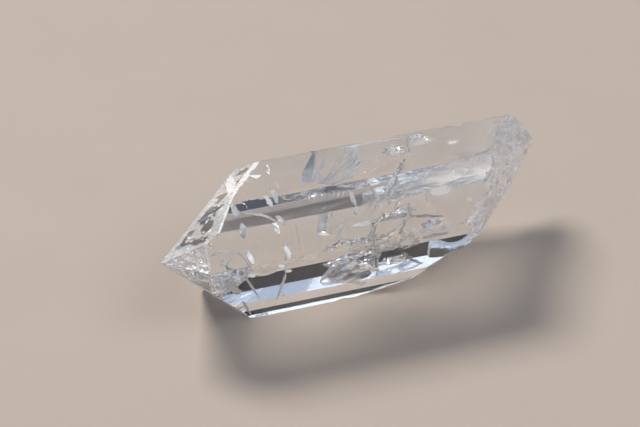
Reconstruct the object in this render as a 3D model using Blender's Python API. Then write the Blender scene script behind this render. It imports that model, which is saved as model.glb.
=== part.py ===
"""Quartz crystal, one clear six-sided point lying on a prism face, broken off at its root.

Metres, +Z up. The c-axis runs along X, with the tip towards -X and the break towards +X.
The origin is on the ground below the middle of the crystal. The faces are measured in
millimetres from CORE, a point on the c-axis near the middle of the crystal.
"""

from math import cos, radians, sin

import bmesh
import bpy
from mathutils import Vector, noise

MM = 0.001
ALONG = Vector((1.0, 0.0, 0.0))

# Prism faces: turn about the c-axis in degrees (0 faces -Y, 90 faces up) and distance
# from the axis. The turns are the 60 degree steps of quartz.
PRISM_FACES = {
    "front_lower": (-30, 7.2),
    "front_upper": (30, 12.25),
    "top": (90, 9.0),
    "back_upper": (150, 8.75),
    "back_lower": (210, 8.4),
    "bottom": (270, 9.0),
}

# Faces of the point: turn as above, tilt of the face's normal from the prism towards the
# tip, and distance from CORE. A rhombohedron face of quartz tilts by 38.2 degrees; the
# smaller faces beside it grew at other angles.
RHOMB_TILT = 38.2
POINT_FACES = {
    "point_front": (30, RHOMB_TILT, 21.1),
    "point_front_low": (-34, 35.3, 16.0),
    "point_bottom": (-60, 41.4, 15.0),
    "point_top": (105, 27.4, 13.4),
    "point_back": (149, 44.2, 14.0),
    "point_back_low": (210, 68.0, 18.75),
    "shoulder": (103, 16.0, 11.75),
}

# Long growth grooves in the prism: the turns of a groove's lower and upper side, and the
# turn and distance from the axis of the line at its bottom.
GROOVES = (
    {"lower": 192, "upper": 220, "line_turn": 226.0, "line_depth": 8.06},
)

# Broken root: main directions of the break, as yaw from +X towards +Y and pitch upwards
# in degrees, and distance from CORE.
BREAK_PLANES = (
    (-33, 13, 21.0),
    (-42, -17, 16.0),
    (-45, -30, 15.0),
    (-66, -44, 10.3),
    (-12, 18, 27.9),
    (4, 37, 26.6),
    (-27, -72, 9.7),
)
BREAK_FACING = (-15, -15)
BREAK_HALF_WIDTH = 25.0
BREAK_CELLS = 100
BREAK_BACK = 45.0
ROUGH_END = 34.0

# Chips knocked out of the edges: the edge as the turns of its two faces, place along the
# axis, length along the edge, width across it, and depth of the bite.
CHIPS = (
    ((90, 150), 6.6, 9.5, 1.6, 0.22),
    ((90, 150), 18.6, 3.0, 1.6, 0.2),
    ((30, 90), 11.2, 3.4, 1.6, 0.35),
    ((-30, 30), 7.0, 5.0, 2.0, 0.45),
    ((-30, 30), 10.6, 3.2, 1.8, 0.55),
    ((-30, 30), -1.6, 2.4, 1.2, 0.25),
    ((-30, 270), 3.8, 4.2, 1.6, 0.35),
    ((-30, 270), 0.2, 2.6, 1.2, 0.2),
    ((150, 210), -9.0, 3.4, 1.6, 0.35),
)

# Pits in the faces: the face's turn, place along the axis, place across the face, length,
# width, and depth.
PITS = (
    (90, 12.8, 3.0, 3.4, 1.4, 0.5),
    (90, 9.1, 1.4, 2.6, 1.6, 0.25),
    (-30, 1.4, 2.7, 3.6, 1.4, 0.35),
)

# Flakes broken off the hidden back: each is bounded by planes, given as turn, tilt towards
# the tip and distance from CORE, and lies round a place along the axis.
FLAKES = (
    {"along": 23.0, "reach": 14.0, "planes": ((210, -4, 9.3), (210, -75, 14.8))},
    {"along": 3.0, "reach": 10.0, "planes": ((210, 15, 6.6), (252, -57, 1.67), (145, -27, 1.92))},
)
FLAKE_TURN = 210
FLAKE_CELLS = 26
FLAKE_CLEAR = 13.5
FLAKE_BACK = 20.0

BALL_STEPS = 2

BLOCK_SIZE = 160.0


def turned(turn, tilt=0.0):
    """Unit normal of a face, from its turn about the c-axis and its tilt towards the tip."""
    across = Vector((0.0, -cos(radians(turn)), sin(radians(turn))))
    return across * cos(radians(tilt)) - ALONG * sin(radians(tilt))


def aimed(yaw, pitch):
    """Unit vector from a yaw and a pitch in degrees."""
    level = cos(radians(pitch))
    return Vector((level * cos(radians(yaw)), level * sin(radians(yaw)), sin(radians(pitch))))


def edge_place(first_turn, second_turn, along):
    """Point on the edge between two prism faces, at a place along the axis."""
    distances = dict(PRISM_FACES.values())
    first, second = turned(first_turn), turned(second_turn)
    first_distance, second_distance = distances[first_turn], distances[second_turn]
    shared = first.dot(second)
    scale = 1.0 / (1.0 - shared * shared)
    first_share = (first_distance - second_distance * shared) * scale
    second_share = (second_distance - first_distance * shared) * scale
    return first * first_share + second * second_share + ALONG * along


def cut_by_plane(bm, normal, distance):
    """Keep what lies behind a plane and close the cut with one flat face."""
    everything = bm.verts[:] + bm.edges[:] + bm.faces[:]
    bmesh.ops.bisect_plane(
        bm, geom=everything, plane_co=normal * distance, plane_no=normal, clear_outer=True, dist=1e-5
    )
    rim = [edge for edge in bm.edges if edge.is_boundary]
    if rim:
        bmesh.ops.contextual_create(bm, geom=rim)


def grow_crystal():
    """The flat-faced crystal, cut from a block."""
    bm = bmesh.new()
    bmesh.ops.create_cube(bm, size=BLOCK_SIZE)
    for turn, distance in PRISM_FACES.values():
        cut_by_plane(bm, turned(turn), distance)
    for turn, tilt, distance in POINT_FACES.values():
        cut_by_plane(bm, turned(turn, tilt), distance)
    cut_by_plane(bm, ALONG, ROUGH_END)
    bmesh.ops.recalc_face_normals(bm, faces=bm.faces)
    return bm


def groove_cutter(groove):
    """A long wedge whose edge is the bottom of a growth groove."""
    line = turned(groove["line_turn"]) * groove["line_depth"]
    bm = bmesh.new()
    bmesh.ops.create_cube(bm, size=BLOCK_SIZE)
    for side in ("lower", "upper"):
        inward = -turned(groove[side])
        cut_by_plane(bm, inward, inward.dot(line))
    bmesh.ops.recalc_face_normals(bm, faces=bm.faces)
    return bm


def break_relief(place):
    """Depth of shell-like ripples, ledges and grains at a place on the break."""
    broad = noise.noise(place * 0.11 + Vector((3.1, 0.0, 7.7))) * 1.5
    ripple_reach = (place - Vector((18.0, 9.0, 4.0))).length
    ripples = sin(ripple_reach * 1.9 + 2.0 * noise.noise(place * 0.15)) * 0.16
    ledge_height = noise.noise(place * 0.24 + Vector((0.0, 5.2, 1.3))) * 3.0
    ledges = (ledge_height - round(ledge_height)) * 0.55
    grains = noise.noise(place * 0.9) * 0.4
    return max(0.0, 0.3 + broad + ripples + ledges + grains)


def flake_relief(place):
    """Height of the waves and ridges on the surface that a flake leaves."""
    waves = noise.noise(place * 0.16 + Vector((1.7, 0.4, 0.0))) * 1.1
    ledge_height = noise.noise(place * 0.21 + Vector((6.3, 0.0, 2.9))) * 4.0
    ledges = (ledge_height - round(ledge_height)) * 0.3
    return waves + ledges


def plane_reach(foot, facing, normal, distance):
    """Distance along facing, from a foot point, to a plane."""
    return (distance - normal.dot(foot)) / normal.dot(facing)


def rough_block(facing, centre, half_width, cells, near_side, far_side):
    """A block whose near side is a rough surface: near_side gives its place over a foot point."""
    turn = facing.to_track_quat("Z", "Y").to_matrix()
    bm = bmesh.new()
    bmesh.ops.create_grid(bm, x_segments=cells, y_segments=cells, size=half_width)
    for vert in bm.verts:
        vert.co = near_side(centre + turn @ vert.co)
    grown = bmesh.ops.extrude_face_region(bm, geom=bm.faces[:])
    for vert in grown["geom"]:
        if isinstance(vert, bmesh.types.BMVert):
            vert.co += facing * (far_side - facing.dot(vert.co))
    bmesh.ops.recalc_face_normals(bm, faces=bm.faces)
    return bm


def break_cutter():
    """The block that takes off everything beyond the broken root."""
    facing = aimed(*BREAK_FACING)
    planes = [(aimed(yaw, pitch), distance) for yaw, pitch, distance in BREAK_PLANES]

    def near_side(foot):
        reach = min(plane_reach(foot, facing, *plane) for plane in planes)
        place = foot + facing * reach
        return place - facing * break_relief(place)

    return rough_block(facing, Vector(), BREAK_HALF_WIDTH, BREAK_CELLS, near_side, BREAK_BACK)


def flake_cutter(flake):
    """The block that takes a flake off the back, down to the planes that bound it."""
    facing = turned(FLAKE_TURN)
    planes = [(turned(turn, tilt), distance) for turn, tilt, distance in flake["planes"]]

    def near_side(foot):
        reach = max(plane_reach(foot, facing, *plane) for plane in planes)
        place = foot + facing * reach
        return foot + facing * min(FLAKE_CLEAR, reach + flake_relief(place))

    return rough_block(facing, ALONG * flake["along"], flake["reach"], FLAKE_CELLS, near_side, FLAKE_BACK)


def scoop(centre, outward, length, width, depth):
    """A flattened, slightly rough ball that bites a shell-shaped hollow at a place."""
    sideways = outward.cross(ALONG)
    bulge = width * 0.5
    bm = bmesh.new()
    bmesh.ops.create_icosphere(bm, subdivisions=BALL_STEPS, radius=1.0)
    for vert in bm.verts:
        ball = vert.co * (1.0 + 0.16 * noise.noise(vert.co * 1.7 + centre))
        vert.co = centre + outward * (bulge - depth + ball.z * bulge)
        vert.co += ALONG * (ball.x * length * 0.5) + sideways * (ball.y * width)
    return bm


def chip_cutter(turns, along, length, width, depth):
    """The scoop of a chip on the edge between two prism faces."""
    outward = (turned(turns[0]) + turned(turns[1])).normalized()
    return scoop(edge_place(*turns, along), outward, length, width, depth)


def pit_cutter(turn, along, across, length, width, depth):
    """The scoop of a pit in a prism face."""
    outward = turned(turn)
    centre = outward * dict(PRISM_FACES.values())[turn] + ALONG * along + outward.cross(ALONG) * across
    return scoop(centre, outward, length, width, depth)


def add_object(name, bm, collection):
    """Put a bmesh in millimetres into the scene as an object in metres."""
    bmesh.ops.scale(bm, vec=(MM, MM, MM), verts=bm.verts)
    mesh = bpy.data.meshes.new(name)
    bm.to_mesh(mesh)
    bm.free()
    thing = bpy.data.objects.new(name, mesh)
    collection.objects.link(thing)
    return thing


def add_collection(name):
    collection = bpy.data.collections.new(name)
    bpy.context.scene.collection.children.link(collection)
    return collection


def subtract(thing, cutter):
    cut = thing.modifiers.new(cutter.name, "BOOLEAN")
    cut.operation = "DIFFERENCE"
    cut.solver = "EXACT"
    cut.object = cutter
    cutter.hide_render = True
    cutter.display_type = "WIRE"


def set_on_origin(thing, cutters):
    """Move the crystal and its cutters so that the origin is below its middle, on the ground."""
    bpy.context.view_layer.update()
    finished = thing.evaluated_get(bpy.context.evaluated_depsgraph_get())
    corners = [Vector(corner) for corner in finished.bound_box]
    low = Vector([min(corner[axis] for corner in corners) for axis in range(3)])
    high = Vector([max(corner[axis] for corner in corners) for axis in range(3)])
    shift = Vector((-(low.x + high.x) / 2, -(low.y + high.y) / 2, -low.z))
    for mover in (thing, *cutters):
        mover.location = shift


def clear_quartz():
    """Clear, colourless quartz."""
    material = bpy.data.materials.new("clear_quartz")
    material.use_nodes = True
    shader = material.node_tree.nodes["Principled BSDF"]
    shader.inputs["Base Color"].default_value = (0.95, 0.96, 0.97, 1.0)
    shader.inputs["Roughness"].default_value = 0.03
    shader.inputs["IOR"].default_value = 1.544
    shader.inputs["Transmission Weight"].default_value = 1.0
    return material


def main():
    for thing in list(bpy.data.objects):
        bpy.data.objects.remove(thing, do_unlink=True)
    parts = add_collection("quartz_crystal")
    cutters = add_collection("cutters")
    crystal = add_object("crystal", grow_crystal(), parts)
    crystal.data.materials.append(clear_quartz())
    for number, groove in enumerate(GROOVES, 1):
        add_object(f"groove_cutter_{number}", groove_cutter(groove), cutters)
    for number, chip in enumerate(CHIPS, 1):
        add_object(f"chip_cutter_{number}", chip_cutter(*chip), cutters)
    for number, pit in enumerate(PITS, 1):
        add_object(f"pit_cutter_{number}", pit_cutter(*pit), cutters)
    for number, flake in enumerate(FLAKES, 1):
        add_object(f"flake_cutter_{number}", flake_cutter(flake), cutters)
    add_object("break_cutter", break_cutter(), cutters)
    for cutter in cutters.objects:
        subtract(crystal, cutter)
    set_on_origin(crystal, cutters.objects)


main()
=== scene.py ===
"""Looks of the quartz crystal: a clear natural point with a frosted tip, inner fractures and
a rough broken root.

The crystal is built in millimetres from CORE, a point on its long axis, and is then put in
the place of the CAD node. Its faces are the CAD's faces; the break, the chips, the etched
faces and the inner fractures are finer.
"""

from math import asin, atan2, cos, degrees, radians, sin, sqrt

import bmesh
import bpy
from mathutils import Matrix, Vector, noise


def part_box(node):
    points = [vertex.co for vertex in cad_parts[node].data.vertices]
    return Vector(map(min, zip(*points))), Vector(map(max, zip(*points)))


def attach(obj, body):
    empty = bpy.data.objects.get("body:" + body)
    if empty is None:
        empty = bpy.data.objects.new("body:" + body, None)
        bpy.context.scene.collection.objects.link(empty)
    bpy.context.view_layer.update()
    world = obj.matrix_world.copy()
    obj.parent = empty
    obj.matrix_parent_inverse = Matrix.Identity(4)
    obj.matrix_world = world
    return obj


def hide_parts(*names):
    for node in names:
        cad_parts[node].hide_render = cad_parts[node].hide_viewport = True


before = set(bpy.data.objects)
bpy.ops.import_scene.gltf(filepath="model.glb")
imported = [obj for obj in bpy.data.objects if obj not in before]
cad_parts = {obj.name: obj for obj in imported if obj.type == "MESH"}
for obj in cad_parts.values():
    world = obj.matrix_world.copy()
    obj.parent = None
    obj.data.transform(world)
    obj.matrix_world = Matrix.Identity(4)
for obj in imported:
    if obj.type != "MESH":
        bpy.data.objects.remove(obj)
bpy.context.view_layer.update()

MM = 0.001
ALONG = Vector((1.0, 0.0, 0.0))

# Place of CORE inside the box of the CAD node, from its low corner, in millimetres.
CORE_IN_BOX = Vector((23.527, 11.23, 9.0))

# Prism faces: turn about the long axis in degrees (0 faces -Y, 90 faces up) and distance
# from the axis.
PRISM_FACES = {
    "front_lower": (-30, 7.2),
    "front_upper": (30, 12.25),
    "top": (90, 9.0),
    "back_upper": (150, 8.75),
    "back_lower": (210, 8.4),
    "bottom": (270, 9.0),
}

# Faces of the point: turn, tilt towards the tip, and distance from CORE.
RHOMB_TILT = 38.2
POINT_FACES = {
    "point_front": (30, RHOMB_TILT, 21.1),
    "point_front_low": (-34, 35.3, 16.0),
    "point_bottom": (-60, 41.4, 15.0),
    "point_top": (105, 27.4, 13.4),
    "point_back": (149, 44.2, 14.0),
    "point_back_low": (210, 68.0, 18.75),
    "shoulder": (103, 16.0, 11.75),
}

# The growth groove low on the back: turns of its lower and upper side, and of the line at
# its bottom with that line's distance from the axis.
GROOVE_SIDES = (192, 220)
GROOVE_LINE = (226.0, 8.06)

# Directions of the break, as yaw, pitch and distance from CORE.
BREAK_PLANES = (
    (-33, 13, 21.0),
    (-42, -17, 16.0),
    (-45, -30, 15.0),
    (-66, -44, 10.3),
    (-12, 18, 27.9),
    (4, 37, 26.6),
    (-27, -72, 9.7),
)
BREAK_FACING = (-15, -15)
BREAK_HALF_WIDTH = 25.0
BREAK_CELL = 0.15
BREAK_BACK = 45.0
ROUGH_END = 34.0
BLOCK_SIZE = 160.0

# Chips in the edges: turns of the two faces, place along the axis, length, width, depth.
CHIPS = (
    ((90, 150), 6.6, 9.5, 1.6, 0.22),
    ((90, 150), 18.6, 3.0, 1.6, 0.2),
    ((30, 90), 11.2, 3.4, 1.6, 0.35),
    ((-30, 30), 7.0, 5.0, 2.0, 0.45),
    ((-30, 30), 10.6, 3.2, 1.8, 0.55),
    ((-30, 30), -1.6, 2.4, 1.2, 0.25),
    ((-30, 270), 3.8, 4.2, 1.6, 0.35),
    ((-30, 270), 0.2, 2.6, 1.2, 0.2),
    ((150, 210), -9.0, 3.4, 1.6, 0.35),
)

# Pits in the faces: turn of the face, place along and across it, length, width, depth.
PITS = (
    (90, 12.8, 3.0, 3.4, 1.4, 0.5),
    (90, 9.1, 1.4, 2.6, 1.6, 0.25),
    (-30, 1.4, 2.7, 3.6, 1.4, 0.35),
)

# Flakes broken off the hidden back: each is bounded by planes, given as turn, tilt towards
# the tip and distance from CORE, and lies round a place along the axis. Hackles is how strong
# the ridges are that fan out from where the flakes start.
FLAKES = (
    {
        "along": 23.0,
        "reach": 14.0,
        "hackles": 0.25,
        "planes": ((210, -4, 9.3), (210, -75, 14.8)),
    },
    {
        "along": 3.0,
        "reach": 10.0,
        "hackles": 1.0,
        "planes": ((210, 15, 6.6), (252, -57, 1.67), (145, -27, 1.92)),
    },
)
FLAKE_TURN = 210
FLAKE_START = Vector((-3.0, 6.0, -6.5))
FLAKE_CELL = 0.2
FLAKE_CLEAR = 13.5
FLAKE_BACK = 20.0

# How finely the balls that scoop out chips and pits are divided.
BALL_STEPS = 4

# Weathering of the point: how far back it goes, the depth and reach of the wear on its edges,
# and the size of the mesh's triangles there.
POINT_END = -7.0
WEAR_DEPTH = 0.1
WEAR_REACH = 0.16
POINT_CELL = 0.28
PLAIN_CELL = 1.6
SPLIT_ROUNDS = 8

# Places closer than this to a face's plane lie on the face, and shallower marks aren't shown.
ON_FACE = 0.001
LEAST_MARK = 0.008

# Etched faces of the point: depth of the etching, share of the face that is etched, and the
# faces beside whose edges the etching is densest.
ETCHED_FACES = {
    "point_top": (0.12, 0.55, ("point_back", "top", "point_front")),
    "point_front": (0.42, 0.95, ("point_top", "point_front_low")),
    "point_front_low": (0.12, 0.25, ("point_bottom",)),
    "shoulder": (0.08, 0.05, ("point_top", "back_upper")),
}
ETCH_WINDOWS = (Vector((-17.1, -3.1, 7.3)), Vector((-15.6, -2.7, 8.0)))

# Lights that an inner crack can throw towards the camera, as yaw and pitch.
KEY_FROM = (122.0, 57.0)
FILL_FROM = (-60.0, 48.0)
SKY_FROM = (100.0, 30.0)
LIGHTS = {"key": KEY_FROM, "sky": SKY_FROM}

# How squarely each kind of crack is looked at, from least to most, as a cosine.
SQUARE_ON = {"white": (0.35, 0.74), "silver": (0.35, 0.74), "veil": (0.8, 0.97)}
MOST_MIRRORS = 7
TURN_STEP = 4
MIRROR_END = 22.0

# Inner cracks, which are thin gaps in the crystal, as read off the photo: kind, face that each
# is seen through, both ends in the photo in pixels, depth below the face along the line of
# sight (at each end, or at both), width, the light that it throws or the direction that it
# faces as yaw and pitch, height of the waves, and sideways bow.
CRACKS = (
    # flecks in two rows behind the tip
    ("white", "front_upper", (239, 223.5), (245, 238), (9.0, 7.1), 0.7, (216, 66), 0.1, 0),
    ("white", "front_upper", (247, 249.5), (254, 265), (8.0, 6.1), 0.7, (216, 62), 0.1, 0),
    ("white", "front_lower", (245, 276), (260, 299), 5.0, 0.45, "key", 0, 0),
    ("white", "front_lower", (228, 280), (239, 295), 4.0, 1.4, "key", 0.3, 0),
    ("white", "front_lower", (243, 301), (250, 313), 2.5, 0.6, "key", 0.1, 0),
    ("white", "top", (233, 204), (236.5, 217), 5.0, 0.8, "sky", 0.1, 0),
    ("white", "top", (271, 189), (278, 203), 6.0, 0.8, "sky", 0.1, 0),
    ("white", "front_upper", (273.5, 221), (279.5, 234.5), (12.0, 10.0), 0.7, (204, 64), 0.1, 0),
    ("white", "front_upper", (283.5, 246), (291, 258), (9.0, 7.1), 0.7, (204, 62), 0.1, 0),
    ("white", "front_lower", (286, 273), (277, 298), 4.0, 0.7, "key", 0.1, 0),
    ("white", "front_lower", (222, 276), (232, 271), 3.0, 0.7, "key", 0.1, 0),
    # two faint arcs and a scratch
    ("veil", "top", (243, 213), (276, 221), 2.2, 0.6, "sky", 0, 0.5),
    ("veil", "front_upper", (210, 256), (243, 256), 3.0, 0.5, "sky", 0, 0.8),
    ("veil", "front_upper", (296, 225), (300, 250), 3.0, 0.12, "sky", 0, 0),
    # silvery network before the break
    ("white", "front_upper", (349, 227), (374, 221), 2.5, 0.7, "key", 0.1, 0),
    ("silver", "front_upper", (372, 222), (396, 213), 2.5, 1, "key", 0.3, 0),
    ("white", "front_upper", (376, 221), (409, 214), 2.7, 0.8, "key", 0.15, 0),
    ("silver", "front_upper", (392, 214), (410, 205), 2.5, 0.9, "sky", 0.2, 0),
    ("white", "front_upper", (408, 203), (411, 218), 2.3, 0.7, "key", 0.1, 0),
    ("silver", "front_upper", (408, 208), (418, 209), 3.0, 1.6, "sky", 0.05, 0),
    ("white", "front_upper", (411, 216), (444, 216), 2.5, 0.8, "key", 0.15, 0),
    ("white", "front_upper", (405, 219), (397, 249), 2.6, 0.9, "key", 0.3, 0),
    ("white", "front_upper", (410, 217), (388, 234), 2.4, 0.3, "key", 0.1, 0),
    ("silver", "front_upper", (421, 232), (449, 226), 3.2, 3.6, "sky", 0.12, 0),
    ("silver", "front_upper", (426, 241), (447, 222), 3.4, 2.4, "sky", 0.1, 0),
    ("silver", "front_upper", (376, 222), (366, 258), 3.0, 1.7, "key", 0.5, 0),
    ("silver", "front_upper", (374, 234), (352, 262), 4.0, 3, "key", 0.5, 0),
    ("silver", "front_upper", (374, 249), (398, 247), 3.6, 4.2, "sky", 0.4, 0),
    ("white", "front_upper", (374, 240), (378, 258), 2.3, 0.45, "key", 0.2, 0),
    ("white", "front_lower", (376, 256), (377, 276), 2.3, 0.5, "key", 0.2, 0),
    ("silver", "front_upper", (350, 240), (374, 252), 3.0, 2.8, "key", 0.5, 0),
    ("silver", "front_upper", (378, 238), (399, 243), 3.0, 2.8, "sky", 0.4, 0),
    ("silver", "front_upper", (399, 236), (421, 238), 3.2, 3, "key", 0.45, 0),
    ("silver", "front_lower", (350, 262), (382, 272), 2.2, 2.2, "key", 0.4, 0),
    ("silver", "front_lower", (384, 262), (412, 259), 2.2, 2, "sky", 0.4, 0),
    # white arcs and strips low on the front
    ("white", "front_lower", (338, 300), (372, 293), 0.8, 0.7, "key", 0.25, 0),
    ("white", "front_lower", (368, 294), (402, 282), 0.8, 1.1, "key", 0.3, 0),
    ("white", "front_lower", (383, 271), (411, 265), 2.5, 0.5, "key", 0.1, 0.9),
    ("white", "front_lower", (389, 270), (407, 266), 3.0, 0.45, "key", 0.1, 0.4),
    ("white", "front_lower", (403, 252), (420, 263), 2.0, 0.7, "key", 0.2, -0.4),
    ("silver", "front_lower", (323, 265), (352, 259), 3.0, 2.6, "key", 0.4, 0),
    ("silver", "front_lower", (345, 268), (372, 260), 2.6, 3, "sky", 0.5, 0),
    ("white", "front_lower", (326, 276), (364, 269), 1.8, 1, "key", 0.3, 0),
    ("silver", "front_lower", (380, 263), (402, 256), 2.6, 2.2, "sky", 0.4, 0),
    ("white", "front_lower", (400, 272), (424, 262), 1.5, 0.7, "key", 0.3, 0),
    # branching crack, chains of chips, and smears below the top face
    ("silver", "top", (403, 161), (398, 175), 4.0, 0.8, "sky", 0.2, 0),
    ("white", "top", (398, 174), (384, 190), 4.0, 0.8, "sky", 0.3, 0),
    ("white", "top", (397, 179), (389, 198), 4.4, 0.7, "sky", 0.3, 0),
    ("white", "top", (349, 190), (356, 206), 3.0, 0.8, "sky", 0.2, 0),
    ("white", "top", (372, 189), (381, 203), 3.0, 0.8, "sky", 0.2, 0),
    ("veil", "top", (383, 152), (406, 150), 0.8, 2.4, (-100, 88), 0.3, 0),
    ("white", "top", (331, 149.5), (407, 136.5), 0.6, 0.5, "sky", 0.03, 0),
)

# Rows of small cracks below the top face: both ends in the photo and their depths as above,
# how many, run of each one, width, and the light that they throw.
CRACK_ROWS = (
    ((357, 163), (382, 158.5), (1.2, 1.2), 6, (0.5, 0.0, 0.0), 0.3, "sky"),
    ((365, 171.5), (383.5, 165), (1.5, 1.6), 5, (0.6, 0.15, 0.0), 0.45, "sky"),
    ((309.5, 197.5), (343.5, 194), (2.0, 2.0), 8, (-0.6, -1.3, 0.0), 0.3, "sky"),
)

# Thickness of the gaps, how far they stay below the flat faces, and how finely the wide and
# the narrow ones are divided.
CRACK_GAP = 0.03
CRACK_DEPTH = 0.3
WIDE_CRACK = 1.5
WIDE_DIVISIONS = (96, 20)
NARROW_DIVISIONS = (64, 6)

IOR = 1.544

# The photo's middle in pixels, and how many pixels a slope of one takes up in it.
PHOTO_MIDDLE = (320.0, 213.5)
PHOTO_REACH = 1750.0

# Camera: place from CORE in millimetres, its axes, and a lens for a 36 mm wide sensor.
VIEW_YAW = -15.87
VIEW_PITCH = 34.0
VIEW_ROLL = 2.0
VIEW_REACH = 227.5
VIEW_TARGET = Vector((0.0, 5.59, -1.17))
LENS = 98.44

# The floor lies a hair below the resting face, as a real one touches it only at a few points.
FLOOR_GAP = 0.00003
FLOOR_COLOUR = (0.4, 0.335, 0.285, 1.0)
FLOOR_DARK = (0.375, 0.315, 0.27, 1.0)

# Colours of the studio round the crystal, by the sine of the height above the floor.
SKY_LOWEST = (0.004, 0.004, 0.005, 1.0)
SKY_STOPS = (
    (0.25, (0.006, 0.006, 0.008, 1.0)),
    (0.31, (0.5, 0.62, 0.82, 1.0)),
    (0.6, (0.4, 0.5, 0.66, 1.0)),
    (0.84, (0.12, 0.14, 0.18, 1.0)),
)
SKY_HIGHEST = (0.04, 0.045, 0.06, 1.0)
SKY_STRENGTH = 0.9

# The two soft lights: direction, distance and size in metres, watts and colour.
PANELS = {
    "key": (KEY_FROM, 2.4, 1.0, 64.0, (1.0, 0.95, 0.88)),
    "fill": (FILL_FROM, 2.6, 1.3, 21.0, (0.93, 0.96, 1.0)),
}


def turned(turn, tilt=0.0):
    """Unit normal of a face, from its turn about the long axis and its tilt towards the tip."""
    across = Vector((0.0, -cos(radians(turn)), sin(radians(turn))))
    return across * cos(radians(tilt)) - ALONG * sin(radians(tilt))


def aimed(yaw, pitch):
    """Unit vector from a yaw and a pitch in degrees."""
    level = cos(radians(pitch))
    return Vector((level * cos(radians(yaw)), level * sin(radians(yaw)), sin(radians(pitch))))


def cut_by_plane(bm, normal, distance):
    """Keep what lies behind a plane and close the cut with one flat face."""
    everything = bm.verts[:] + bm.edges[:] + bm.faces[:]
    bmesh.ops.bisect_plane(
        bm, geom=everything, plane_co=normal * distance, plane_no=normal, clear_outer=True, dist=1e-5
    )
    rim = [edge for edge in bm.edges if edge.is_boundary]
    if rim:
        bmesh.ops.contextual_create(bm, geom=rim)


def grow_crystal():
    """The crystal's prism and point with flat faces, and an end to be broken off."""
    bm = bmesh.new()
    bmesh.ops.create_cube(bm, size=BLOCK_SIZE)
    for turn, distance in PRISM_FACES.values():
        cut_by_plane(bm, turned(turn), distance)
    for turn, tilt, distance in POINT_FACES.values():
        cut_by_plane(bm, turned(turn, tilt), distance)
    cut_by_plane(bm, ALONG, ROUGH_END)
    bmesh.ops.recalc_face_normals(bm, faces=bm.faces)
    return bm


def groove_cutter():
    """A long wedge whose edge is the bottom of the growth groove."""
    line = turned(GROOVE_LINE[0]) * GROOVE_LINE[1]
    bm = bmesh.new()
    bmesh.ops.create_cube(bm, size=BLOCK_SIZE)
    for side in GROOVE_SIDES:
        inward = -turned(side)
        cut_by_plane(bm, inward, inward.dot(line))
    bmesh.ops.recalc_face_normals(bm, faces=bm.faces)
    return bm


def break_relief(place):
    """Depth of shell-like ripples, ledges and grains at a place on the break."""
    broad = noise.noise(place * 0.11 + Vector((3.1, 0.0, 7.7))) * 1.5
    ripple_reach = (place - Vector((18.0, 9.0, 4.0))).length
    ripples = sin(ripple_reach * 1.9 + 2.0 * noise.noise(place * 0.15)) * 0.16
    ledge_height = noise.noise(place * 0.24 + Vector((0.0, 5.2, 1.3))) * 3.0
    ledges = (ledge_height - round(ledge_height)) * 0.55
    grains = noise.noise(place * 0.9) * 0.25 + noise.noise(place * 2.6) * 0.07
    grains += abs(noise.noise(place * 1.3 + Vector((5.0, 5.0, 5.0)))) * 0.4 - 0.08
    return max(0.0, 0.3 + broad + ripples + ledges + grains)


def flake_relief(place, strength):
    """Height of the waves and ridges on the surface that a flake leaves."""
    waves = noise.noise(place * 0.16 + Vector((1.7, 0.4, 0.0))) * 1.1
    spread = place - FLAKE_START
    fan = atan2(spread.z, spread.x)
    hackles = abs(noise.noise(Vector((fan * 4.0, spread.length * 0.12, 3.0)))) * 0.5
    barbs = abs(noise.noise(Vector((fan * 13.0, spread.length * 0.3, 8.0)))) * 0.12
    return waves + (hackles + barbs) * strength


def plane_reach(foot, facing, normal, distance):
    """Distance along facing, from a foot point, to a plane."""
    return (distance - normal.dot(foot)) / normal.dot(facing)


def rough_block(facing, along, centre, half_sizes, cell, near_side, far_side):
    """A block whose near side is a rough surface: near_side gives its place over a foot point."""
    side = facing.cross(along)
    half_length, half_width = half_sizes
    bm = bmesh.new()
    bmesh.ops.create_grid(
        bm, x_segments=round(2 * half_length / cell), y_segments=round(2 * half_width / cell), size=1.0
    )
    for vert in bm.verts:
        foot = centre + along * (vert.co.x * half_length) + side * (vert.co.y * half_width)
        vert.co = near_side(foot)
    grown = bmesh.ops.extrude_face_region(bm, geom=bm.faces[:])
    for vert in grown["geom"]:
        if isinstance(vert, bmesh.types.BMVert):
            vert.co += facing * (far_side - facing.dot(vert.co))
    bmesh.ops.recalc_face_normals(bm, faces=bm.faces)
    return bm


def break_cutter():
    """The block that takes off everything beyond the broken root."""
    facing = aimed(*BREAK_FACING)
    planes = [(aimed(yaw, pitch), distance) for yaw, pitch, distance in BREAK_PLANES]

    def near_side(foot):
        reach = min(plane_reach(foot, facing, *plane) for plane in planes)
        place = foot + facing * reach
        return place - facing * break_relief(place)

    side = facing.cross(Vector((0.0, 0.0, 1.0))).normalized()
    sizes = (BREAK_HALF_WIDTH, BREAK_HALF_WIDTH)
    return rough_block(facing, side, Vector(), sizes, BREAK_CELL, near_side, BREAK_BACK)


def flake_cutter(flake):
    """The block that takes a flake off the back, down to the planes that bound it."""
    facing = turned(FLAKE_TURN)
    planes = [(turned(turn, tilt), distance) for turn, tilt, distance in flake["planes"]]

    def near_side(foot):
        reach = max(plane_reach(foot, facing, *plane) for plane in planes)
        place = foot + facing * reach
        return foot + facing * min(FLAKE_CLEAR, reach + flake_relief(place, flake["hackles"]))

    sizes = (flake["reach"], flake["reach"])
    return rough_block(facing, ALONG, ALONG * flake["along"], sizes, FLAKE_CELL, near_side, FLAKE_BACK)


def all_planes():
    """Normal and distance of every flat face by name."""
    planes = {name: (turned(turn), distance) for name, (turn, distance) in PRISM_FACES.items()}
    for name, (turn, tilt, distance) in POINT_FACES.items():
        planes[name] = (turned(turn, tilt), distance)
    return planes


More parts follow.
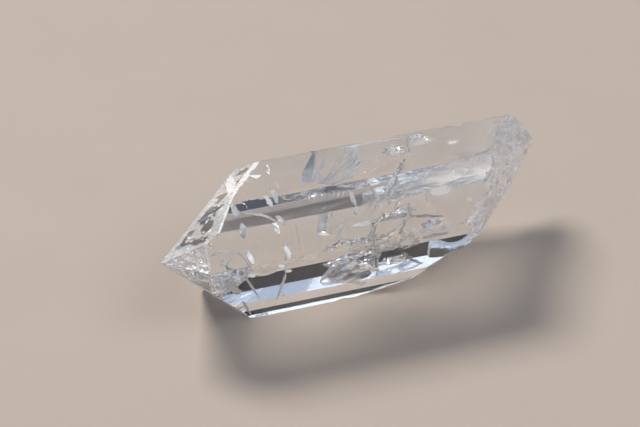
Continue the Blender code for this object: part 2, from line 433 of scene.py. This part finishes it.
def etch_depth(name, place, planes):
    """Depth of the etching on a face of the point. It leaves clear windows."""
    if name not in ETCHED_FACES:
        return 0.0
    depth, share, dense_beside = ETCHED_FACES[name]
    etched = share - 0.5 + 1.1 * noise.noise(place * 0.75 + Vector((2.0, 9.0, 4.0)))
    for other in dense_beside:
        normal, distance = planes[other]
        etched += max(0.0, 1.0 - (distance - normal.dot(place)) / 0.9)
    for window in ETCH_WINDOWS:
        etched -= max(0.0, 1.1 - (place - window).length * 1.9)
    grain = 0.55 + 0.6 * noise.noise(place * 1.6) + 0.4 * noise.noise(place * 4.1)
    return max(0.0, depth * min(etched, 0.6) * 1.6 * grain)


def wear_depth(name, place, depths):
    """Depth of the wear, which follows the edges of the faces of the point."""
    (second, beside) = depths[1]
    if name not in POINT_FACES and beside not in POINT_FACES:
        return 0.0
    rough = 0.8 + 1.1 * noise.noise(place * 0.9) + 0.8 * noise.noise(place * 3.1)
    return max(0.0, WEAR_DEPTH * rough * (1.0 - second / WEAR_REACH))


def weather(place, planes):
    """Depth of the weathering at a place on the point, and the look that it leaves."""
    depths = sorted((distance - normal.dot(place), name) for name, (normal, distance) in planes.items())
    name = depths[0][1]
    etch, wear = etch_depth(name, place, planes), wear_depth(name, place, depths)
    if max(etch, wear) < LEAST_MARK:
        return 0.0, "clear"
    return max(etch, wear), "etched" if etch > wear else "worn"


def wanted_cell(place, planes):
    """Size of the triangles at a place on the point."""
    depths = sorted((distance - normal.dot(place), name) for name, (normal, distance) in planes.items())
    near_edge = depths[1][0] < 2.0 * WEAR_REACH and depths[1][1] in POINT_FACES
    return POINT_CELL if near_edge or depths[0][1] in POINT_FACES else PLAIN_CELL


def on_flat_face(place, planes):
    """Whether a place lies on one of the flat faces."""
    return min(distance - normal.dot(place) for normal, distance in planes.values()) < ON_FACE


def refine_point(bm, planes):
    """Split the faces of the point into small triangles."""
    geom = bm.verts[:] + bm.edges[:] + bm.faces[:]
    bmesh.ops.bisect_plane(bm, geom=geom, plane_co=ALONG * POINT_END, plane_no=ALONG, dist=1e-5)
    for _ in range(SPLIT_ROUNDS):
        many_sided = [face for face in bm.faces if len(face.verts) > 3]
        crowded = [face for face in many_sided if face.calc_center_median().x < POINT_END]
        bmesh.ops.triangulate(bm, faces=crowded)
        long_edges = []
        for edge in bm.edges:
            middle = (edge.verts[0].co + edge.verts[1].co) * 0.5
            if middle.x < POINT_END - ON_FACE and edge.calc_length() > wanted_cell(middle, planes):
                long_edges.append(edge)
        bmesh.ops.subdivide_edges(bm, edges=long_edges, cuts=1)
    bmesh.ops.triangulate(bm, faces=[face for face in bm.faces if len(face.verts) > 4])


def weather_point(thing, slots):
    """Wear the edges of the point and etch its faces."""
    planes = all_planes()
    bm = bmesh.new()
    bm.from_mesh(thing.data)
    refine_point(bm, planes)
    for face in bm.faces:
        middle = face.calc_center_median()
        if middle.x < POINT_END and on_flat_face(middle, planes):
            face.material_index = slots[weather(middle, planes)[1]]
    moves = {}
    for vert in bm.verts:
        if vert.co.x < POINT_END - 0.5:
            inward = Vector()
            for normal, distance in planes.values():
                if distance - normal.dot(vert.co) < ON_FACE:
                    inward -= normal
            moves[vert] = inward.normalized() * weather(vert.co, planes)[0]
    for vert, move in moves.items():
        vert.co += move
    bm.to_mesh(thing.data)
    bm.free()


def pull_inside(place, planes):
    """Keep a place a little below every flat face."""
    for normal, distance in planes:
        excess = normal.dot(place) - (distance - CRACK_DEPTH)
        if excess > 0.0:
            place = place - normal * excess
    return place


def view_axes():
    """Unit vectors to the camera, and to the right and the top of the photo."""
    yaw, pitch, roll = radians(VIEW_YAW), radians(VIEW_PITCH), radians(VIEW_ROLL)
    back = Vector((sin(yaw) * cos(pitch), -cos(yaw) * cos(pitch), sin(pitch)))
    level = Vector((cos(yaw), sin(yaw), 0.0))
    upright = back.cross(level)
    right = level * cos(roll) - upright * sin(roll)
    return back, right, level * sin(roll) + upright * cos(roll)


def inner_place(face, pixel, depth, planes):
    """A place seen at a pixel below a face, to a tenth of a millimetre, and the bent sight line."""
    normal, distance = planes[face]
    back, right, up = view_axes()
    eye = VIEW_TARGET + back * VIEW_REACH
    across, down = pixel[0] - PHOTO_MIDDLE[0], pixel[1] - PHOTO_MIDDLE[1]
    sight = ((right * across - up * down) / PHOTO_REACH - back).normalized()
    entry = eye + sight * plane_reach(eye, sight, normal, distance)
    squareness = -sight.dot(normal)
    bent = sight / IOR
    bent += normal * (squareness / IOR - sqrt(1.0 - (1.0 - squareness * squareness) / IOR ** 2))
    place = entry + bent * depth
    return Vector([round(value, 1) for value in place]), bent, place


def way_out(place, direction, planes):
    """Direction in which light leaves the faces after the mirrorings, or None at the break."""
    for _ in range(MOST_MIRRORS):
        ahead = []
        for name, (normal, distance) in planes.items():
            if direction.dot(normal) > 1e-6:
                reach = plane_reach(place, direction, normal, distance)
                if reach > 1e-5:
                    ahead.append((reach, name))
        reach, name = min(ahead)
        if name == "break":
            return None
        normal = planes[name][0]
        place = place + direction * reach
        squareness = direction.dot(normal)
        passing = 1.0 - (1.0 - squareness * squareness) * IOR ** 2
        if passing > 0.05:
            return direction * IOR - normal * (IOR * squareness - sqrt(passing))
        direction = direction - normal * (2.0 * squareness)
    return None


def best_facing(kind, middle, sight, run, light, planes):
    """How a crack along run faces, as yaw and pitch, to mirror most of a light to the camera."""
    wanted = aimed(*LIGHTS[light])
    least, most = SQUARE_ON[kind]
    run = run.normalized()
    level = run.cross(Vector((0.0, 0.0, 1.0))).normalized()
    upright = level.cross(run)
    best_score, best = -2.0, None
    for turn in range(0, 360, TURN_STEP):
        facing = level * cos(radians(turn)) + upright * sin(radians(turn))
        squareness = -sight.dot(facing)
        if least <= squareness <= most:
            leaving = way_out(middle, sight + facing * (2.0 * squareness), planes)
            if leaving and leaving.dot(wanted) > best_score:
                best_score, best = leaving.dot(wanted), facing
    return round(degrees(atan2(best.y, best.x))), round(degrees(asin(best.z)))


def mirror_planes():
    """The flat faces, and one more across the crystal where the break begins."""
    planes = all_planes()
    planes["break"] = (ALONG, MIRROR_END)
    return planes


def placed_cracks():
    """Every single crack with its ends in millimetres and the direction that it faces."""
    planes = mirror_planes()
    cracks = []
    for kind, face, first, last, depth, width, faced, waves, bow in CRACKS:
        depths = depth if isinstance(depth, tuple) else (depth, depth)
        start, sight, exact_start = inner_place(face, first, depths[0], planes)
        end, _, exact_end = inner_place(face, last, depths[1], planes)
        if faced in LIGHTS:
            middle, run = (exact_start + exact_end) * 0.5, exact_end - exact_start
            faced = best_facing(kind, middle, sight, run, faced, planes)
        cracks.append((kind, start, end, width, faced, waves, bow))
    return cracks


def row_cracks():
    """The small cracks of every row, each a little different from the one before."""
    planes = mirror_planes()
    cracks = []
    for first, last, depths, count, run, width, light in CRACK_ROWS:
        start, sight, _ = inner_place("top", first, depths[0], planes)
        end = inner_place("top", last, depths[1], planes)[0]
        faced = best_facing("white", (start + end) * 0.5, sight, Vector(run), light, planes)
        for number in range(count):
            place = start.lerp(end, number / (count - 1))
            half = Vector(run) * (0.5 + 0.25 * noise.noise(place * 3.0))
            cracks.append(("white", place - half, place + half, width, faced, 0.1, 0.0))
    return cracks


def crack_shell(crack, planes):
    """A thin closed gap with a ragged outline. Its normals point into the gap, out of the glass."""
    start, end, width, faced, waves, bow = crack[1:]
    start, end = Vector(start), Vector(end)
    run = end - start
    half_length = run.length * 0.5
    run.normalize()
    facing = aimed(*faced)
    facing = (facing - run * facing.dot(run)).normalized()
    side = facing.cross(run)
    centre = (start + end) * 0.5
    bm = bmesh.new()
    spokes, rings = WIDE_DIVISIONS if width > WIDE_CRACK else NARROW_DIVISIONS
    bmesh.ops.create_uvsphere(bm, u_segments=spokes, v_segments=rings, radius=1.0)
    for vert in bm.verts:
        ball = vert.co.copy()
        rim = Vector((ball.x, ball.y, 0.0))
        ragged = 1.0 + 0.3 * noise.noise(rim * 2.1 + centre)
        ragged += 0.5 * rim.length * noise.noise(rim * 7.0 + centre)
        length_share = ball.x * ragged
        across = ball.y * ragged * width * 0.5 + bow * (1.0 - length_share * length_share)
        flat = centre + run * (length_share * half_length) + side * across
        ledge = noise.noise(flat * 0.55 + Vector((4.0, 1.0, 8.0))) * 3.0
        lift = noise.noise(flat * 0.8) + (ledge - round(ledge)) * 0.6
        gap = CRACK_GAP * 0.5 * ball.z
        vert.co = pull_inside(flat + facing * (lift * waves), planes) + facing * gap
    bmesh.ops.reverse_faces(bm, faces=bm.faces)
    for face in bm.faces:
        face.smooth = True
    return bm


def edge_place(first_turn, second_turn, along):
    """Place on the edge that two prism faces share."""
    distances = dict(PRISM_FACES.values())
    first, second = turned(first_turn), turned(second_turn)
    first_distance, second_distance = distances[first_turn], distances[second_turn]
    shared = first.dot(second)
    scale = 1.0 / (1.0 - shared * shared)
    first_share = (first_distance - second_distance * shared) * scale
    second_share = (second_distance - first_distance * shared) * scale
    return first * first_share + second * second_share + ALONG * along


def scoop(centre, outward, length, width, depth):
    """A long lumpy ball that takes a shallow bite out of the crystal at its centre."""
    sideways = outward.cross(ALONG)
    bulge = width * 0.5
    bm = bmesh.new()
    bmesh.ops.create_icosphere(bm, subdivisions=BALL_STEPS, radius=1.0)
    for vert in bm.verts:
        ball = vert.co * (1.0 + 0.16 * noise.noise(vert.co * 1.7 + centre))
        ball = ball * (1.0 + 0.03 * noise.noise(vert.co * 7.0 + centre))
        vert.co = centre + outward * (bulge - depth + ball.z * bulge)
        vert.co += ALONG * (ball.x * length * 0.5) + sideways * (ball.y * width)
    return bm


def chip_cutter(turns, along, length, width, depth):
    """The ball that chips the edge between two prism faces."""
    outward = (turned(turns[0]) + turned(turns[1])).normalized()
    return scoop(edge_place(*turns, along), outward, length, width, depth)


def pit_cutter(turn, along, across, length, width, depth):
    """The ball that leaves a pit in a prism face."""
    outward = turned(turn)
    centre = outward * dict(PRISM_FACES.values())[turn] + ALONG * along + outward.cross(ALONG) * across
    return scoop(centre, outward, length, width, depth)


def make_object(name, bm, material):
    """A new object in the scene from a bmesh, with one material."""
    mesh = bpy.data.meshes.new(name)
    bm.to_mesh(mesh)
    bm.free()
    thing = bpy.data.objects.new(name, mesh)
    bpy.context.scene.collection.objects.link(thing)
    mesh.materials.append(material)
    return thing


def subtract(thing, cutters):
    """Cut the cutters away from a mesh for good, keeping the cutters' materials on the cuts."""
    for cutter in cutters:
        cut = thing.modifiers.new(cutter.name, "BOOLEAN")
        cut.operation = "DIFFERENCE"
        cut.solver = "EXACT"
        cut.material_mode = "TRANSFER"
        cut.object = cutter
    bpy.context.view_layer.update()
    seen = thing.evaluated_get(bpy.context.evaluated_depsgraph_get())
    mesh = bpy.data.meshes.new_from_object(seen)
    thing.modifiers.clear()
    old = thing.data
    thing.data = mesh
    bpy.data.meshes.remove(old)
    for cutter in cutters:
        data = cutter.data
        bpy.data.objects.remove(cutter)
        bpy.data.meshes.remove(data)


def quartz(name, rough_range, rough_scale, bump_height, bump_scale, clearness):
    """A quartz surface: roughness varies between two values, and the bump is that of its grain."""
    material = bpy.data.materials.new(name)
    material.use_nodes = True
    nodes, links = material.node_tree.nodes, material.node_tree.links
    shader = nodes["Principled BSDF"]
    shader.inputs["Base Color"].default_value = (1.0, 1.0, 1.0, 1.0)
    shader.inputs["IOR"].default_value = IOR
    shader.inputs["Transmission Weight"].default_value = clearness
    place = nodes.new("ShaderNodeTexCoord")
    patches = nodes.new("ShaderNodeTexNoise")
    patches.inputs["Scale"].default_value = rough_scale
    patches.inputs["Detail"].default_value = 4.0
    spread = nodes.new("ShaderNodeMapRange")
    spread.inputs["From Min"].default_value = 0.35
    spread.inputs["From Max"].default_value = 0.65
    spread.inputs["To Min"].default_value, spread.inputs["To Max"].default_value = rough_range
    grain = nodes.new("ShaderNodeTexNoise")
    grain.inputs["Scale"].default_value = bump_scale
    grain.inputs["Detail"].default_value = 3.0
    bump = nodes.new("ShaderNodeBump")
    bump.inputs["Distance"].default_value = bump_height
    links.new(place.outputs["Object"], patches.inputs["Vector"])
    links.new(place.outputs["Object"], grain.inputs["Vector"])
    links.new(patches.outputs["Fac"], spread.inputs["Value"])
    links.new(spread.outputs["Result"], shader.inputs["Roughness"])
    links.new(grain.outputs["Fac"], bump.inputs["Height"])
    links.new(bump.outputs["Normal"], shader.inputs["Normal"])
    return material


def build_crystal():
    """The crystal as one mesh: flat faces, worn edges, etched point, break and inner cracks."""
    clear = quartz("clear_quartz", (0.0, 0.02), 300.0, 0.0000004, 1500.0, 1.0)
    worn = quartz("worn_quartz", (0.25, 0.5), 900.0, 0.00004, 5000.0, 0.45)
    etched = quartz("etched_quartz", (0.03, 0.3), 700.0, 0.00008, 2500.0, 0.7)
    broken = quartz("broken_quartz", (0.02, 0.3), 450.0, 0.00008, 3000.0, 0.75)
    flaked = quartz("flaked_quartz", (0.02, 0.22), 250.0, 0.00003, 900.0, 0.88)
    looks = {
        "silver": quartz("silver_crack", (0.02, 0.12), 500.0, 0.00002, 1500.0, 1.0),
        "white": quartz("white_crack", (0.2, 0.45), 1200.0, 0.00002, 5000.0, 0.2),
        "veil": quartz("veil_crack", (0.3, 0.45), 1200.0, 0.00001, 3000.0, 0.8),
    }
    crystal = make_object("crystal_body", grow_crystal(), clear)
    cutters = [make_object("groove_cutter", groove_cutter(), clear)]
    for number, chip in enumerate(CHIPS, 1):
        cutters.append(make_object(f"chip_cutter_{number}", chip_cutter(*chip), broken))
    for number, pit in enumerate(PITS, 1):
        cutters.append(make_object(f"pit_cutter_{number}", pit_cutter(*pit), flaked))
    for number, flake in enumerate(FLAKES, 1):
        cutters.append(make_object(f"flake_cutter_{number}", flake_cutter(flake), flaked))
    cutters.append(make_object("break_cutter", break_cutter(), broken))
    subtract(crystal, cutters)
    slots = {}
    for look, material in (("clear", clear), ("worn", worn), ("etched", etched)):
        if material.name not in crystal.data.materials:
            crystal.data.materials.append(material)
        slots[look] = crystal.data.materials.find(material.name)
    weather_point(crystal, slots)
    planes = list(all_planes().values())
    shells = []
    for number, crack in enumerate(placed_cracks() + row_cracks(), 1):
        shells.append(make_object(f"crack_{number}", crack_shell(crack, planes), looks[crack[0]]))
    join(crystal, shells)
    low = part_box("crystal")[0]
    crystal.data.transform(Matrix.Translation(low + CORE_IN_BOX * MM) @ Matrix.Scale(MM, 4))
    return crystal


def join(thing, others):
    """Join other meshes into a mesh, keeping their materials."""
    bpy.ops.object.select_all(action="DESELECT")
    for other in others:
        other.select_set(True)
    thing.select_set(True)
    bpy.context.view_layer.objects.active = thing
    bpy.ops.object.join()


def add_floor():
    """A plain pale floor with a faint mottle."""
    bpy.ops.mesh.primitive_plane_add(size=4.0, location=(0.0, 0.0, -FLOOR_GAP))
    floor = bpy.context.object
    floor.name = "floor"
    material = bpy.data.materials.new("floor")
    material.use_nodes = True
    shader = material.node_tree.nodes["Principled BSDF"]
    shader.inputs["Roughness"].default_value = 0.8
    nodes, links = material.node_tree.nodes, material.node_tree.links
    place = nodes.new("ShaderNodeTexCoord")
    mottle = nodes.new("ShaderNodeTexNoise")
    mottle.inputs["Scale"].default_value = 60.0
    mottle.inputs["Detail"].default_value = 6.0
    tones = nodes.new("ShaderNodeValToRGB")
    tones.color_ramp.elements[0].color = FLOOR_DARK
    tones.color_ramp.elements[1].color = FLOOR_COLOUR
    links.new(place.outputs["Object"], mottle.inputs["Vector"])
    links.new(mottle.outputs["Fac"], tones.inputs["Fac"])
    links.new(tones.outputs["Color"], shader.inputs["Base Color"])
    floor.data.materials.append(material)


def add_world():
    """A studio that is dark low down and near the top, with a band of pale sky between."""
    world = bpy.data.worlds.new("studio")
    bpy.context.scene.world = world
    world.use_nodes = True
    nodes, links = world.node_tree.nodes, world.node_tree.links
    direction = nodes.new("ShaderNodeTexCoord")
    height = nodes.new("ShaderNodeSeparateXYZ")
    ramp = nodes.new("ShaderNodeValToRGB")
    links.new(direction.outputs["Generated"], height.inputs[0])
    links.new(height.outputs["Z"], ramp.inputs[0])
    links.new(ramp.outputs[0], nodes["Background"].inputs[0])
    stops = ramp.color_ramp.elements
    stops[0].color = SKY_LOWEST
    stops[1].color = SKY_HIGHEST
    for rise, colour in SKY_STOPS:
        stop = stops.new(rise)
        stop.color = colour
    nodes["Background"].inputs["Strength"].default_value = SKY_STRENGTH


def add_panel(name, direction, reach, size, energy, colour):
    """A round soft light that faces the crystal."""
    light = bpy.data.lights.new(name, "AREA")
    light.shape = "DISK"
    light.size = size
    light.energy = energy
    light.color = colour
    panel = bpy.data.objects.new(name, light)
    bpy.context.scene.collection.objects.link(panel)
    source = aimed(*direction)
    panel.location = source * reach
    panel.rotation_mode = "QUATERNION"
    panel.rotation_quaternion = source.to_track_quat("Z", "Y")


def add_camera(crystal_low):
    """The camera at the photo's place, from the low corner of the crystal's box."""
    back, right, up = view_axes()
    place = crystal_low + (CORE_IN_BOX + VIEW_TARGET + back * VIEW_REACH) * MM
    data = bpy.data.cameras.new("camera")
    data.sensor_width = 36.0
    data.lens = LENS
    data.clip_start = 0.01
    camera = bpy.data.objects.new("camera", data)
    bpy.context.scene.collection.objects.link(camera)
    turn = Matrix((right, up, back)).transposed()
    camera.matrix_world = Matrix.Translation(place) @ turn.to_4x4()
    bpy.context.scene.camera = camera


crystal = build_crystal()
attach(crystal, "root")
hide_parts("crystal")
add_floor()
add_world()
for panel_name, panel_values in PANELS.items():
    add_panel(panel_name, *panel_values)
add_camera(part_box("crystal")[0])

cycles = bpy.context.scene.cycles
cycles.max_bounces = 24
cycles.transmission_bounces = 24
cycles.glossy_bounces = 12
cycles.diffuse_bounces = 4
bpy.context.scene.view_settings.view_transform = "Standard"
